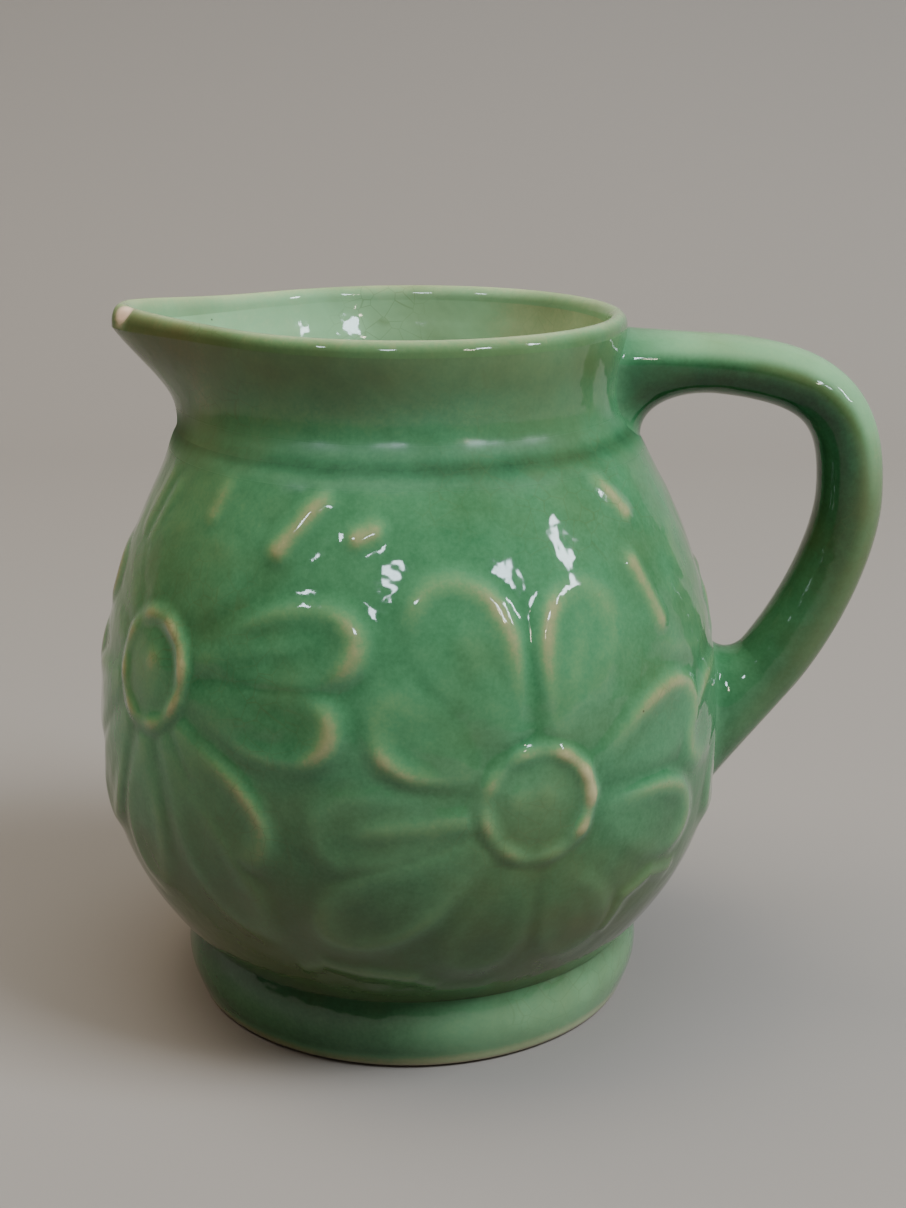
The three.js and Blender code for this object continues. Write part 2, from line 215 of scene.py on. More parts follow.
def petalHeight(along, across, petal):
    degrees, length, halfWidth, bend, leftRim, tipRim, rightRim, rib = petal
    root = daisies["discEdge"] * 0.8
    run = np.clip((along - root) / (length - root), 0, 1)
    across = across - bend * run * run
    half = halfWidth * (0.42 + 0.58 * smooth(run, 0, 0.6))
    tipStart = daisies["tipStart"]
    tipRun = np.clip((run - tipStart) / (1 - tipStart), 0, 1)
    edge = np.hypot(tipRun, across / half)
    inside = (1 - edge) * np.minimum(half, (length - root) * (1 - tipStart))
    sideways = np.clip(0.5 + across / (1.2 * half), 0, 1)
    side = mix(rightRim, leftRim, sideways)
    atTip = smooth(tipRun, 0.1, 0.7)
    rim = mix(side, tipRim, atTip) * (0.25 + 0.75 * smooth(run, 0.1, 0.6))
    pillow = smooth(inside, -0.8, 3.4)
    raised = daisies["rimHeight"] * ridge(inside - daisies["rimInset"], daisies["rimWidth"])
    dished = daisies["faceHeight"] + daisies["faceByRim"] * rim + rim * raised
    vein = daisies["ribHeight"] * rib * ridge(across, daisies["ribWidth"]) * (1 - smooth(run, 0.5, 0.85))
    shown = (along > root) & (along < length + 1)
    return np.where(shown, pillow * (dished + vein), 0)


def daisyHeight(right, up, petals):
    far = np.hypot(right, up)
    height = np.zeros(right.shape)
    for petal in petals:
        t = radians(petal[0])
        along = right * cos(t) + up * sin(t)
        across = up * cos(t) - right * sin(t)
        height = np.maximum(height, petalHeight(along, across, petal))
    bearing = np.arctan2(up, right)     # the ring was pressed unevenly, so it comes and goes
    uneven = 0.85 - 0.2 * np.sin(bearing - 1.9)
    uneven = uneven + 0.3 * np.sin(3 * bearing + 1) * np.sin(5 * bearing)
    ring = daisies["ringHeight"] * uneven * ridge(far - daisies["discRing"], daisies["ringWidth"])
    dome = daisies["domeHeight"] * np.clip(1 - (far / daisies["discRing"]) ** 2, 0, 1)
    outside = smooth(far, daisies["discEdge"], daisies["discEdge"] + 1.8)
    inDisc = 1 - smooth(far, daisies["discEdge"], daisies["discEdge"] + 2.5)
    return height * outside + (ring + dome) * inDisc


def strokeHeight(angle, z, stroke):
    fromDeg, fromZ, toDeg, toZ, halfWidth, strength = stroke
    radius = bellyRound((fromZ + toZ) / 2)
    middle = radians((fromDeg + toDeg) / 2 - 90)
    right = radius * turnFrom(angle, middle)
    half = radius * radians(toDeg - fromDeg) / 2
    run = np.array([2 * half, toZ - fromZ])
    share = ((right + half) * run[0] + (z - fromZ) * run[1]) / run.dot(run)
    share = np.clip(share, 0, 1)
    off = np.hypot(right + half - share * run[0], z - fromZ - share * run[1])
    return daisies["strokeHeight"] * strength * ridge(off, daisies["strokeSpread"] * halfWidth)


def bellyRelief(angle, z):
    radius = bellyRound(z)
    height = np.zeros(angle.shape)
    for degrees, kind in daisies["places"]:
        right = radius * turnFrom(angle, radians(degrees - 90))
        raised = daisyHeight(right, z - daisies[kind]["level"], daisies[kind]["petals"])
        height = np.maximum(height, raised)
    for stroke in daisies["strokes"]:
        height = np.maximum(height, strokeHeight(angle, z, stroke))
    for degrees, level, size, strength in daisies["bumps"]:
        right = radius * turnFrom(angle, radians(degrees - 90))
        height = height + strength * ridge(np.hypot(right, z - level), size)
    # it fades out at both creases and round the handle's joints
    shown = smooth(z - bellyBottom, 0.5, 7) * smooth(bellyTop - z, 0.5, 6)
    for (halfWide, halfHigh), level in ((daisies["clearBottom"], handle["bottomHeight"]),
                                        (daisies["clearTop"], handle["topHeight"])):
        away = np.hypot(radius * turnFrom(angle, 0) / halfWide, (z - level) / halfHigh)
        shown = shown * smooth(away, 1.05, 1.5)
    return daisies["relief"] * height * shown


def shoulderGroove(angle, z):
    # a shallow crease all round, filled and rounded over under the spout
    filled = spoutShare(angle) ** 0.6
    crease = body["creaseDepth"] * ridge(z - bellyTop, body["creaseWidth"])
    throat = body["throatFill"] * ridge(z - bellyTop, body["throatWidth"])
    return crease * (1 - filled) - throat * filled


def wobble(angle, z):
    # hand finishing leaves the round a little uneven
    return body["wobble"] * (np.sin(2 * angle + 0.4 + z / 31) + 0.6 * np.sin(3 * angle + 2 - z / 23))


def creaseFade(z):
    return smooth(z - bellyBottom, 0, 8) * smooth(bellyTop - z, 0, 8)


# The handle's path, on the same curve as the frame's, and its oval section.
handle = {
    "topDrop": 8.7,             # below the rim
    "bottomLevel": 0.425,       # share of the belly's height where its middle line meets the belly
    "loopShare": 0.628,         # how far up between its two ends it stands out furthest
    "fingerRoom": 16.8,
    "halfThickTop": 4.95,
    "halfThickLoop": 5.8,
    "halfThickBottom": 6.5,
    "halfWidth": 6.9,
    "standOffTop": 17,          # length at each end that belongs to the joint
    "standOffBottom": 13,
    "bottomDrop": 1.8,
    "flatness": 0.9,            # 1 is an ellipse, less is squarer
    # how far each bend point of the path lies from one end of its curve towards the other
    "topPull": 0.785,
    "overPull": 0.824,
    "underPull": 0.342,
    "lowPull": (0.42, 0.083),
    "around": 96,
    "rows": 90,
    # the outer face is paler than the sides: partly thinner glaze, partly painted light on the upward top
    # and painted shade on the sides
    "faceGlaze": 0.46,
    "sideGlazeAndShade": 0.86,
    "lowThinning": 0.22,
    "topPaintedLight": 0.32,
    "turnOlive": 0.5,
    "lowOlive": 0.4,
    "sideOlive": 0.15,
}
rimTop = collarTop + body["lipHeight"]
handle["topHeight"] = rimTop - handle["topDrop"]
handle["rootHeight"] = bellyBottom + handle["bottomLevel"] * (bellyTop - bellyBottom)
handle["bottomHeight"] = handle["rootHeight"] - handle["bottomDrop"]


def bezier(points, t):
    t = np.asarray(t, float)[..., None]
    a, b, c, d = [np.asarray(p, float) for p in points]
    return (1 - t) ** 3 * a + 3 * t * (1 - t) ** 2 * b + 3 * t * t * (1 - t) * c + t ** 3 * d


def handlePath():
    top = np.array([collarRound(0, handle["topHeight"]), 0, handle["topHeight"]])
    low = np.array([bellyRound(handle["rootHeight"]), 0, handle["rootHeight"]])
    loop = np.array([
        body["bellyRadius"] + handle["fingerRoom"] + handle["halfThickLoop"],
        0,
        mix(low[2], top[2], handle["loopShare"]),
    ])
    outOfTop = np.array([mix(top[0], loop[0], handle["topPull"]), 0, top[2]])
    overLoop = np.array([loop[0], 0, mix(loop[2], top[2], handle["overPull"])])
    underLoop = np.array([loop[0], 0, mix(loop[2], low[2], handle["underPull"])])
    lowAcross, lowUp = handle["lowPull"]
    intoLow = np.array([mix(low[0], loop[0], lowAcross), 0, mix(low[2], loop[2], lowUp)])
    t = np.linspace(0, 1, 600)
    first = bezier([top, outOfTop, overLoop, loop], t)
    second = bezier([loop, underLoop, intoLow, low], t)
    return np.vstack([first, second[1:]])


path = handlePath()
pathRun = np.concatenate([[0], np.cumsum(np.linalg.norm(np.diff(path, axis=0), axis=1))])
pathLength = pathRun[-1]


def pathPoint(share):
    return np.array([np.interp(share * pathLength, pathRun, path[:, k]) for k in range(3)])


def pathTangent(share):
    step = 0.004
    ahead = pathPoint(min(1, share + step)) - pathPoint(max(0, share - step))
    return ahead / np.linalg.norm(ahead)


def squarer(values):
    return np.sign(values) * np.abs(values) ** handle["flatness"]


def handleSection(share, upSign, sideSign, count):
    # points and outward directions of the oval at one place along the path
    centre = pathPoint(share)
    tangent = pathTangent(share)
    outer = np.array([-tangent[2], 0, tangent[0]])
    across = np.array([0, 1, 0])
    thick = mix(handle["halfThickTop"], handle["halfThickBottom"], share)
    turn = np.linspace(0, 2 * pi, count, endpoint=False)
    thickways = upSign * thick * squarer(np.cos(turn))[:, None] * outer
    sideways = sideSign * handle["halfWidth"] * squarer(np.sin(turn))[:, None] * across
    out = upSign * np.cos(turn)[:, None] / thick * outer
    out = out + sideSign * np.sin(turn)[:, None] / handle["halfWidth"] * across
    return centre + thickways + sideways, out / np.linalg.norm(out, axis=1)[:, None]


# Meshes are grids of rings, each with its own outward directions and glaze layers.
def toFrame(points):
    return (np.asarray(points, float) + [axisX, axisY, 0]) / 1000


def rounded(angle, radius, z):
    angle, radius, z = np.broadcast_arrays(angle, radius, z)
    return np.stack([radius * np.cos(angle), radius * np.sin(angle), z], axis=-1)


def gridDirections(grid, wrapRings, runs):
    # outward directions from neighbours along the rings and along each smooth run of the section
    if wrapRings:
        alongRings = np.roll(grid, -1, axis=0) - np.roll(grid, 1, axis=0)
    else:
        alongRings = np.gradient(grid, axis=0)
    alongRun = np.zeros_like(grid)
    for start, stop in runs:
        alongRun[:, start:stop] = np.gradient(grid[:, start:stop], axis=1)
    out = np.cross(alongRun, alongRings)
    size = np.linalg.norm(out, axis=2, keepdims=True)
    return out / np.where(size > 0, size, 1)


def makePiece(name, grid, closedRings, directions, glaze, replaced):
    # rings that don't close into a loop get a cap at each end
    rings, size = grid.shape[:2]
    index = np.arange(rings * size).reshape(rings, size)
    following = np.roll(index, -1, axis=0) if closedRings else index[1:]
    here = index if closedRings else index[:-1]
    corners = [here, np.roll(here, -1, axis=1), np.roll(following, -1, axis=1), following]
    quads = np.stack(corners, axis=-1)
    faces = quads.reshape(-1, 4).tolist()
    if not closedRings:
        faces.append(index[0, ::-1].tolist())
        faces.append(index[-1].tolist())
    mesh = bpy.data.meshes.new(name)
    mesh.from_pydata(toFrame(grid.reshape(-1, 3)).tolist(), [], faces)
    mesh.polygons.foreach_set("use_smooth", [True] * len(faces))
    for key in glazeLayers:
        values = np.broadcast_to(glaze.get(key, 0.0), grid.shape[:2])
        layer = mesh.attributes.new(key, "FLOAT", "POINT")
        layer.data.foreach_set("value", values.reshape(-1).astype(np.float32))
    shell = bmesh.new()
    shell.from_mesh(mesh)
    if shell.calc_volume(signed=True) < 0:
        mesh.flip_normals()
    shell.free()
    mesh.update()
    facing = np.zeros(rings * size * 3)
    mesh.vertex_normals.foreach_get("vector", facing)
    outward = directions.reshape(-1, 3)
    if (facing.reshape(-1, 3) * outward).sum() < 0:
        outward = -outward
    mesh.normals_split_custom_set_from_vertices(outward.tolist())
    mesh.materials.append(glazeMaterial)
    piece = bpy.data.objects.new(name, mesh)
    bpy.context.collection.objects.link(piece)
    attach(piece, "root")
    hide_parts(*replaced)
    print("made", name, rings * size, "points")
    return piece


# Materials
def linearColour(hexText):
    # sRGB hex to linear
    values = [int(hexText[i:i + 2], 16) / 255 for i in (0, 2, 4)]
    return [v / 12.92 if v <= 0.04045 else ((v + 0.055) / 1.055) ** 2.4 for v in values] + [1]


def addNode(tree, kind, settings=None, links=None):
    # settings: property or input values; links: input name to (node, output name)
    node = tree.nodes.new(kind)
    for key, value in (settings or {}).items():
        if isinstance(key, int) or key in node.inputs:
            node.inputs[key].default_value = value
        else:
            setattr(node, key, value)
    for key, (source, output) in (links or {}).items():
        tree.links.new(source.outputs[output], node.inputs[key])
    return node


def setRamp(node, stops):
    ramp = node.color_ramp
    while len(ramp.elements) > 1:
        ramp.elements.remove(ramp.elements[-1])
    ramp.elements[0].position = stops[0][0]
    ramp.elements[0].color = linearColour(stops[0][1])
    for position, colour in stops[1:]:
        ramp.elements.new(position).color = linearColour(colour)


greenGlaze = {
    "thin": "a8a277",           # clay showing through where the glaze is thinnest
    "thinGreen": "878f64",
    "light": "5c885b",
    "middle": "487d55",
    "deep": "2f6540",
    "deepest": "143f22",
    "olive": "54552b",          # the same glaze where it burnt browner
    "pale": "a2cf9f",           # a thin wash on the lip's crest and the foot's bottom edge; painted light inside the mouth, along the handle's top and on the foot's lit side
    "speck": "2f2a1c",
    "crackle": "4f5a35",
    "clay": "ecd0b8",
    "ior": 1.5,
    "roughness": 0.06,
    "clayRoughness": 0.75,
    # how thick the glaze looks, from 0 to 1, against its colour
    "depths": [(0.06, "thin"), (0.24, "thinGreen"), (0.4, "light"),
               (0.54, "middle"), (0.72, "deep"), (0.95, "deepest")],
    # clouds, mottle and grain: mm across, detail, roughness, and how much thickness they add or take
    "mottling": [(22.22, 3.0, 0.55, 0.34), (2.381, 4.0, 0.65, 0.18), (0.6667, 2.0, 0.6, 0.16)],
    "crackleNet": 3.448,        # mm across a cell
    "crackleLine": 0.028,       # share of a cell
    "crackleShown": 0.36,
    "cracklePatch": 30.3,       # mm across a crackled patch
    "burntPatch": 33.33,        # mm across a browner cloud
    "burntShown": 0.38,
    "speckGap": 11.11,          # mm from one iron speck to the next
    "speckEdge": (0.018, 0.03), # share of the gap, which is a speck half a mm across
    "speckShown": 0.85,
    "peel": 5.882,              # mm across the faint orange peel that glaze settles in
    "peelDepth": 0.0006,        # m
}


def makeGlaze(name, glaze):
    # Majolica: a glossy green glaze, dipped and fired over moulded cream earthenware. It is thin and tan
    # on ridges, deep green where it pooled, softly clouded, finely crackled, with dark iron specks.
    material = bpy.data.materials.new(name)
    material.use_nodes = True
    tree = material.node_tree
    tree.nodes.clear()
    place = (addNode(tree, "ShaderNodeTexCoord"), "Object")
    layers = {}
    for key in glazeLayers:
        layers[key] = (addNode(tree, "ShaderNodeAttribute", {"attribute_name": key}), "Fac")
    depth = layers["pooled"]
    for size, detail, rough, amount in glaze["mottling"]:
        noise = addNode(tree, "ShaderNodeTexNoise",
                        {"Scale": 1000 / size, "Detail": detail, "Roughness": rough}, {"Vector": place})
        uneven = addNode(tree, "ShaderNodeMath",
                         {"operation": "MULTIPLY_ADD", 1: amount, 2: -amount / 2}, {0: (noise, "Fac")})
        depth = (addNode(tree, "ShaderNodeMath", {"operation": "ADD"}, {0: depth, 1: (uneven, 0)}), 0)
    ramp = addNode(tree, "ShaderNodeValToRGB", None, {"Fac": depth})
    setRamp(ramp, [(position, glaze[colour]) for position, colour in glaze["depths"]])
    # crackle: a net of fine lines that shows only in patches
    cells = addNode(tree, "ShaderNodeTexVoronoi",
                    {"feature": "DISTANCE_TO_EDGE", "Scale": 1000 / glaze["crackleNet"],
                     "Randomness": 1.0}, {"Vector": place})
    line = addNode(tree, "ShaderNodeMapRange", {1: 0.0, 2: glaze["crackleLine"], 3: 1.0, 4: 0.0},
                   {"Value": (cells, "Distance")})
    patches = addNode(tree, "ShaderNodeTexNoise",
                      {"Scale": 1000 / glaze["cracklePatch"], "Detail": 2.0}, {"Vector": place})
    patchy = addNode(tree, "ShaderNodeMapRange", {1: 0.5, 2: 0.66, 3: 0.0, 4: glaze["crackleShown"]},
                     {"Value": (patches, "Fac")})
    crackle = addNode(tree, "ShaderNodeMath", {"operation": "MULTIPLY"}, {0: (line, 0), 1: (patchy, 0)})
    # browner clouds, added to where the pieces say that the glaze burnt
    burning = addNode(tree, "ShaderNodeTexNoise",
                      {"Scale": 1000 / glaze["burntPatch"], "Detail": 3.0, "Roughness": 0.6},
                      {"Vector": place})
    burnt = addNode(tree, "ShaderNodeMapRange", {1: 0.46, 2: 0.7, 3: 0.0, 4: glaze["burntShown"]},
                    {"Value": (burning, "Fac")})
    olive = addNode(tree, "ShaderNodeMath", {"operation": "ADD", "use_clamp": True},
                    {0: layers["olive"], 1: (burnt, 0)})
    dots = addNode(tree, "ShaderNodeTexVoronoi",
                   {"feature": "F1", "Scale": 1000 / glaze["speckGap"], "Randomness": 1.0},
                   {"Vector": place})
    full, gone = glaze["speckEdge"]
    dot = addNode(tree, "ShaderNodeMapRange", {1: full, 2: gone, 3: glaze["speckShown"], 4: 0.0},
                  {"Value": (dots, "Distance")})
    colour = (ramp, "Color")
    for share, shade in ((layers["pale"], "pale"), ((olive, 0), "olive"), ((crackle, 0), "crackle"),
                         ((dot, 0), "speck"), (layers["bare"], "clay")):
        mixed = addNode(tree, "ShaderNodeMix", {"data_type": "RGBA", 7: linearColour(glaze[shade])},
                        {0: share, 6: colour})
        colour = (mixed, 2)
    # bare clay and the dusty creases are matt, the rest glassy
    worn = addNode(tree, "ShaderNodeMath", {"operation": "MAXIMUM"}, {0: layers["bare"], 1: layers["dull"]})
    gloss = addNode(tree, "ShaderNodeMapRange",
                    {1: 0.0, 2: 1.0, 3: glaze["roughness"], 4: glaze["clayRoughness"]},
                    {"Value": (worn, 0)})
    peel = addNode(tree, "ShaderNodeTexNoise",
                   {"Scale": 1000 / glaze["peel"], "Detail": 2.0, "Roughness": 0.5}, {"Vector": place})
    bump = addNode(tree, "ShaderNodeBump", {"Strength": 0.35, "Distance": glaze["peelDepth"]},
                   {"Height": (peel, "Fac")})
    surface = addNode(tree, "ShaderNodeBsdfPrincipled", {"IOR": glaze["ior"]}, {
        "Base Color": colour, "Roughness": (gloss, 0), "Normal": (bump, "Normal")})
    addNode(tree, "ShaderNodeOutputMaterial", None, {"Surface": (surface, "BSDF")})
    return material


glazeMaterial = makeGlaze("green_crackle_glaze", greenGlaze)
print("made the glaze")


# Belly. Its glaze runs from 0, where the clay shows through, to 1, a deep pool.
belly = {
    "around": 480,
    "rows": 150,
    "innerRows": 12,
    "glaze": 0.57,
    # lighter and paler inside: painted light for the lit inner wall
    "innerGlaze": 0.42,
    "innerPaintedLight": 0.35,
    "pooling": 0.62,            # how much a ridge loses for each mm that it stands up
    "hollowShare": 0.45,        # how much of that a hollow gains
    "reliefThinning": 0.1,
    "footShade": 0.16,           # darker towards the foot: painted shade on the lower belly, which turns away from the light
    "creasePool": 0.22,
    "footOlive": 0.4,
    "creaseDull": 0.9,
}


def blurred(values, passes):
    for _ in range(passes):
        values = (np.roll(values, 1, 0) + values + np.roll(values, -1, 0)) / 3
        padded = np.pad(values, ((0, 0), (1, 1)), "edge")
        values = (padded[:, :-2] + padded[:, 1:-1] + padded[:, 2:]) / 3
    return values


def padInside(values, inside, value=0.0):
    # the outside's values, then one value for all the inside
    return np.pad(values, ((0, 0), (0, inside.shape[1])), constant_values=value)


angles = np.linspace(0, 2 * pi, belly["around"], endpoint=False) - pi / 2
levels = np.linspace(bellyBottom, bellyTop, belly["rows"] + 1)
innerLevels = np.linspace(bellyTop, bellyBottom, belly["innerRows"] + 1)
angleGrid, levelGrid = np.meshgrid(angles, levels, indexing="ij")
relief = bellyRelief(angleGrid, levelGrid)
outer = bellyRound(levelGrid) + relief + wobble(angleGrid, levelGrid) * creaseFade(levelGrid)
outer = outer - shoulderGroove(angleGrid, levelGrid)
outside = rounded(angleGrid, outer, levelGrid)
innerRadii = bellyRound(innerLevels)[None, :] - body["wall"]
inside = rounded(angles[:, None], innerRadii, innerLevels[None, :])
grid = np.concatenate([outside, inside], axis=1)
bellyRuns = [(0, belly["rows"] + 1), (belly["rows"] + 1, grid.shape[1])]
hollow = blurred(relief, 20) - relief
ran = np.where(hollow < 0, hollow, belly["hollowShare"] * hollow)
pool = belly["glaze"] + belly["pooling"] * ran - belly["reliefThinning"] * relief
# painted shade: darker towards the foot, where the belly turns away from the light
pool = pool + belly["footShade"] * smooth(-levelGrid, -78, -18)
pool = pool + belly["creasePool"] * ridge(levelGrid - bellyTop, 1.3)
pool = pool + 0.06 * smooth(levelGrid, bellyTop - 6, bellyTop)
# painted shade: darker again just above the foot's crease
pool = pool + 0.12 * smooth(-levelGrid, -bellyBottom - 6, -bellyBottom)
bellyGlaze = {
    "pooled": padInside(pool, inside, belly["innerGlaze"]),
    "olive": padInside(belly["footOlive"] * smooth(-levelGrid, -58, -20), inside),
    "pale": padInside(np.zeros_like(pool), inside, belly["innerPaintedLight"]),
    "dull": padInside(belly["creaseDull"] * ridge(levelGrid - bellyTop, 2.8), inside),
}
makePiece("belly", grid, True, gridDirections(grid, True, bellyRuns), bellyGlaze, ["belly"])


# Collar, spout and lip
neck = {
    "around": 400,
    "rows": 26,
    "innerRows": 8,
    "lipRows": 14,
    "spoutHalf": radians(56),   # how far round the spout's piece reaches each way
    "glaze": 0.51,
    # lighter and paler inside: painted light for the lit inner wall
    "innerGlaze": 0.42,
    "innerPaintedLight": 0.5,
    "thinSide": radians(20),    # the middle of a thinner patch inside, near the handle
    "ribSide": (radians(26), radians(-30)),     # a pale ridge down each side of the spout
    "ribShare": (1.0, 0.5),
    "lipGlaze": 0.25,
    "lipRoundness": 0.8,
    "hollowPool": 0.26,         # deep in the crease, a little over it, thin under the lip
    "lowPool": 0.1,
    "highThinning": 0.07,
    "flankThinning": 0.06,
    "ribThinning": 0.14,
    "olive": 0.22,              # browner under the lip, more beside the spout, and down its middle
    "flankOlive": 0.2,
    "spoutOlive": 0.14,
    "chipSide": 0.115,          # a chip in the lip: radians round from the spout's middle, up over the lip
    "chipTurn": 0.9,
    "chipDepth": 0.5,
}


def neckGlaze(angle, z):
    # thinner under the lip and on the spout's flanks, pooled in the hollow of the collar
    up = (z - bellyTop) / (collarTop - bellyTop)
    base = neck["glaze"] + neck["lowPool"] * (1 - smooth(up, 0.12, 0.45))
    base = base - neck["highThinning"] * smooth(up, 0.62, 0.98) + neck["hollowPool"] * ridge(up, 0.075)
    flank = spoutShare(angle) ** 0.5
    fromSpout = turnFrom(angle, spoutSide)
    ribbed = 0
    for side, share in zip(neck["ribSide"], neck["ribShare"]):
        ribbed = ribbed + share * ridge(fromSpout - side, radians(8))
    return base - neck["flankThinning"] * flank * smooth(up, 0.1, 0.8) - neck["ribThinning"] * ribbed


def neckOlive(angle, z):
    up = (z - bellyTop) / (collarTop - bellyTop)
    fromSpout = turnFrom(angle, spoutSide)
    flank = neck["flankOlive"] * ridge(fromSpout, radians(75))
    underLip = (neck["olive"] + flank) * smooth(up, 0.45, 0.85)
    return underLip + neck["spoutOlive"] * ridge(fromSpout, radians(40))


spread = np.linspace(-1, 1, neck["around"] + 1)[:-1]     # closer together at the spout
neckAngles = spoutSide + pi * np.sign(spread) * np.abs(spread) ** 1.25
edgeAt = []
for side in (-1, 1):
    edgeAt.append(int(np.abs(neckAngles - (spoutSide + side * neck["spoutHalf"])).argmin()))
neckLevels = np.linspace(bellyTop, collarTop, neck["rows"] + 1)
neckInner = np.linspace(collarTop, bellyTop, neck["innerRows"] + 1)
angleGrid, levelGrid = np.meshgrid(neckAngles, neckLevels, indexing="ij")
innerAngle, innerLevel = np.meshgrid(neckAngles, neckInner, indexing="ij")
outer = collarRound(angleGrid, levelGrid) - shoulderGroove(angleGrid, levelGrid)
outside = rounded(angleGrid, outer, levelGrid)
inside = rounded(innerAngle, collarInside(innerAngle, innerLevel), innerLevel)
grid = np.concatenate([outside, inside], axis=1)
neckRuns = [(0, neck["rows"] + 1), (neck["rows"] + 1, grid.shape[1])]
directions = gridDirections(grid, True, neckRuns)
# paler and lighter inside as painted light for the lit inner wall, less so over a thinner beige patch near
# the handle
thinPatch = 1 - smooth(np.abs(turnFrom(innerAngle, neck["thinSide"])), radians(32), radians(52))
innerGlaze = neck["innerGlaze"] - 0.2 * thinPatch
innerPaintedLight = neck["innerPaintedLight"] - 0.14 * thinPatch
neckGlazing = {
    "pooled": np.concatenate([neckGlaze(angleGrid, levelGrid), innerGlaze], axis=1),
    "olive": padInside(neckOlive(angleGrid, levelGrid), inside),
    "pale": np.concatenate([np.zeros(angleGrid.shape), innerPaintedLight], axis=1),
    "dull": padInside(belly["creaseDull"] * ridge(levelGrid - bellyTop, 3.4), inside),
}
rings = np.arange(len(neckAngles))
spoutRings = rings[edgeAt[0]:edgeAt[1] + 1]
collarRings = np.concatenate([rings[edgeAt[1]:], rings[:edgeAt[0] + 1]])
for name, chosen, node in (("collar", collarRings, "neck_collar"),
                           ("spout", spoutRings, "pouring_spout")):
    glaze = {key: values[chosen] for key, values in neckGlazing.items()}
    makePiece(name, grid[chosen], False, directions[chosen], glaze, [node])

outerEdge = collarRound(neckAngles, collarTop)
innerEdge = collarInside(neckAngles, collarTop)
turn = np.linspace(0, pi, neck["lipRows"] + 1)
middle = (outerEdge + innerEdge)[:, None] / 2
half = (outerEdge - innerEdge)[:, None] / 2
rise = (body["lipHeight"] + body["spoutRise"] * spoutShare(neckAngles))[:, None]
radius = middle + half * np.cos(turn)[None, :]
height = collarTop + rise * np.sin(turn)[None, :] ** neck["lipRoundness"]
chipAcross = turnFrom(neckAngles, spoutSide + neck["chipSide"])[:, None] * radius / 1.4
chipAway = np.hypot(chipAcross, (turn[None, :] - neck["chipTurn"]) * 2.2)
chip = neck["chipDepth"] * (1 - smooth(chipAway, 0.8, 2.6))
lipGrid = rounded(neckAngles[:, None], radius - chip, height - 0.4 * chip)
outerShare = 1 - smooth(turn, 0.1, 1.5)[None, :]
innerShare = smooth(turn, 1.7, pi)[None, :]
underLip = neckGlaze(neckAngles, collarTop)[:, None]
lipGlaze = {
    "pooled": mix(neck["lipGlaze"], underLip, outerShare) + 0.15 * innerShare,
    "bare": 0.9 * (1 - smooth(chipAway, 1.0, 1.9)),
    "olive": neckOlive(neckAngles, collarTop)[:, None] * outerShare,
    "pale": 0.25 * (1 - outerShare) + 0.25 * innerShare,
}
lipDirections = gridDirections(lipGrid, True, [(0, len(turn))])
makePiece("lip", lipGrid, True, lipDirections, lipGlaze, ["rim_lip"])


# Foot ring and floor
foot = {
    "baseRadius": 40.4,
    "bulge": 1.8,
    "edgeRound": 0.9,           # rounding where it stands on the table
    "recess": 3.5,              # how far up the floor's underside is
    "ledge": 3.6,               # width of the ring that it stands on
    "floorTop": 9.0,
    "dish": 0.8,
    "floorOverlap": 0.15,
    "around": 320,
    "rows": 22,
    "glaze": 0.7,
    "edgeThinning": 0.46,       # thin at the very bottom, where it was wiped
    "litSideAngle": radians(-46),   # the side that faces the key light, made paler there as painted light
    "litSideThinning": 0.26,
    "floorGlaze": 0.5,
    "floorPale": 0.3,
}
up = np.linspace(0, 1, foot["rows"])
outsideRadius = mix(foot["baseRadius"], body["footCrease"], up)
outsideRadius = outsideRadius + foot["bulge"] * np.sin(pi * up ** 1.2) * (1 - 0.25 * up)
outsideZ = up * bellyBottom
intoEdge = 1 - np.clip(outsideZ / foot["edgeRound"], 0, 1)
outsideRadius = outsideRadius - foot["edgeRound"] * (1 - np.sqrt(np.clip(1 - intoEdge ** 2, 0, 1)))
innerRadius = body["footCrease"] - body["wall"]
ledgeRadius = innerRadius - foot["ledge"]
inner = [
    (innerRadius, bellyBottom), (innerRadius, foot["recess"]),
    (ledgeRadius, foot["recess"]), (ledgeRadius + 0.5, 0.5), (ledgeRadius + 1.2, 0),
]
section = np.concatenate([np.stack([outsideRadius, outsideZ], 1), np.array(inner)])
footAngles = np.linspace(0, 2 * pi, foot["around"], endpoint=False)
grid = rounded(footAngles[:, None], section[None, :, 0], section[None, :, 1])
level = section[:, 1]
onOutside = np.arange(len(section)) < len(up)
lowBand = 1 - smooth(level, 1.2, 3.6)
# darker near the top of the foot: glaze pooled in the crease, and painted shade under the belly's overhang
pool = foot["glaze"] + 0.12 * smooth(level, bellyBottom - 4, bellyBottom) - foot["edgeThinning"] * lowBand
bare = np.where(onOutside, 1 - smooth(level, 0.2, 0.9), np.where(level < foot["recess"], 0.6, 0))
# painted light: paler and thinner on the side facing the key light, less so up under the belly; painted
# shade: darker and browner on the other sides
footLitShare = smooth(np.cos(footAngles - foot["litSideAngle"]), 0.62, 0.97)[:, None]
footLitPale = 0.3 * footLitShare * (1 - 0.6 * smooth(level, 7, bellyBottom)) + 0.12 * lowBand
footGlaze = {
    "pooled": pool[None, :] - foot["litSideThinning"] * footLitShare,
    "bare": bare[None, :],
    "olive": 0.12 * (1 - footLitShare),
    "pale": np.where(onOutside, footLitPale, foot["floorPale"]),
}
footRuns = [(0, len(up)), (len(up), len(up) + 2), (len(up) + 2, len(section))]
makePiece("foot", grid, True, gridDirections(grid, True, footRuns), footGlaze, ["foot_ring"])

